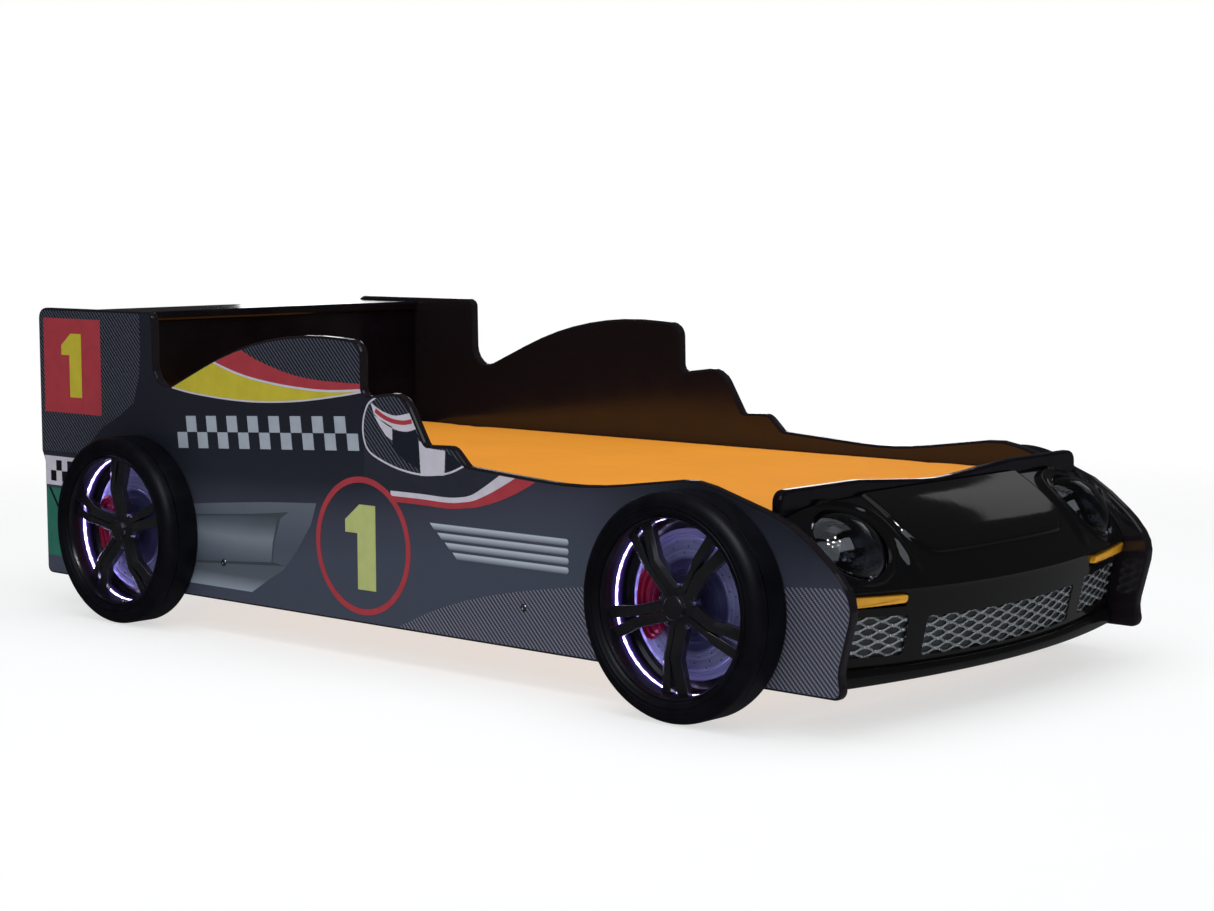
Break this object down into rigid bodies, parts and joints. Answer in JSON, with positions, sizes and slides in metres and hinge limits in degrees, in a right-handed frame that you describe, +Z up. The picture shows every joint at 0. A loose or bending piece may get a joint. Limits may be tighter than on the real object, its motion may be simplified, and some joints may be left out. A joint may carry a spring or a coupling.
{
  "type": "toddler bed",
  "caption": "Low toddler bed shaped like a racing car, with shaped side panels, formed bonnet, lit wheel shells, slatted base and mattress.",
  "frame": {"origin": "on the floor, under the middle of the bed's outer box", "axes": "+X towards the bonnet, +Y towards the car's left side, +Z up"},
  "size_m": [1.723, 0.868, 0.5056],
  "materials": {
    "board_print": "printed and lacquered fibreboard, satin gloss",
    "gloss_shell": "high gloss black formed sheet",
    "pine": "planed, unfinished",
    "mattress_cover": "woven cotton cover, orange",
    "tyre_black": "satin black formed sheet",
    "rim_black": "gloss black moulding",
    "light_strip": "lit violet-white strip",
    "disc_steel": "turned metallic disc, drilled look",
    "caliper_red": "gloss red",
    "bolt_grey": "bright screw cover",
    "lamp_bowl": "smoked bright bowl",
    "lamp_lens": "clear smoked dome",
    "amber_lens": "gloss amber",
    "grille_metal": "expanded silver mesh",
    "control_case": "fine moulded texture",
    "power_key": "gloss red key"
  },
  "bodies": {
    "bed_frame": {"side_panel_left": "board_print", "side_panel_right": "board_print", "headboard": "board_print", "footboard": "board_print", "wing_shelf": "board_print", "hood_shell": "gloss_shell", "headlight_bowl_left": "lamp_bowl", "headlight_lens_left": "lamp_lens", "turn_lamp_left": "amber_lens", "headlight_bowl_right": "lamp_bowl", "headlight_lens_right": "lamp_lens", "turn_lamp_right": "amber_lens", "grille_centre": "grille_metal", "grille_left": "grille_metal", "grille_right": "grille_metal", "tyre_front_left": "tyre_black", "rim_front_left": "rim_black", "light_ring_front_left": "light_strip", "brake_disc_front_left": "disc_steel", "caliper_front_left": "caliper_red", "bolt_cover_front_left": "bolt_grey", "leg_front_left": "pine", "tyre_front_right": "tyre_black", "rim_front_right": "rim_black", "light_ring_front_right": "light_strip", "brake_disc_front_right": "disc_steel", "caliper_front_right": "caliper_red", "bolt_cover_front_right": "bolt_grey", "leg_front_right": "pine", "tyre_rear_left": "tyre_black", "rim_rear_left": "rim_black", "light_ring_rear_left": "light_strip", "brake_disc_rear_left": "disc_steel", "caliper_rear_left": "caliper_red", "bolt_cover_rear_left": "bolt_grey", "leg_rear_left": "pine", "tyre_rear_right": "tyre_black", "rim_rear_right": "rim_black", "light_ring_rear_right": "light_strip", "brake_disc_rear_right": "disc_steel", "caliper_rear_right": "caliper_red", "bolt_cover_rear_right": "bolt_grey", "leg_rear_right": "pine", "slat_rail_left": "pine", "slat_rail_right": "pine", "centre_beam": "pine", "centre_leg": "pine", "slat_01": "pine", "slat_02": "pine", "slat_03": "pine", "slat_04": "pine", "slat_05": "pine", "slat_06": "pine", "slat_07": "pine", "slat_08": "pine", "slat_09": "pine", "slat_10": "pine", "light_control_box": "control_case"},
    "mattress_body": {"mattress": "mattress_cover"},
    "power_key_body": {"power_button": "power_key"}
  },
  "joints": [
    {"name": "mattress_lift", "type": "slide", "parent": "bed_frame", "child": "mattress_body", "axis": [0, 0, 1], "range_m": [0, 0.19]},
    {"name": "power_button_press", "type": "slide", "parent": "bed_frame", "child": "power_key_body", "axis": [1, 0, 0], "range_m": [0, 0.002], "stiffness_N_per_m": 400}
  ]
}
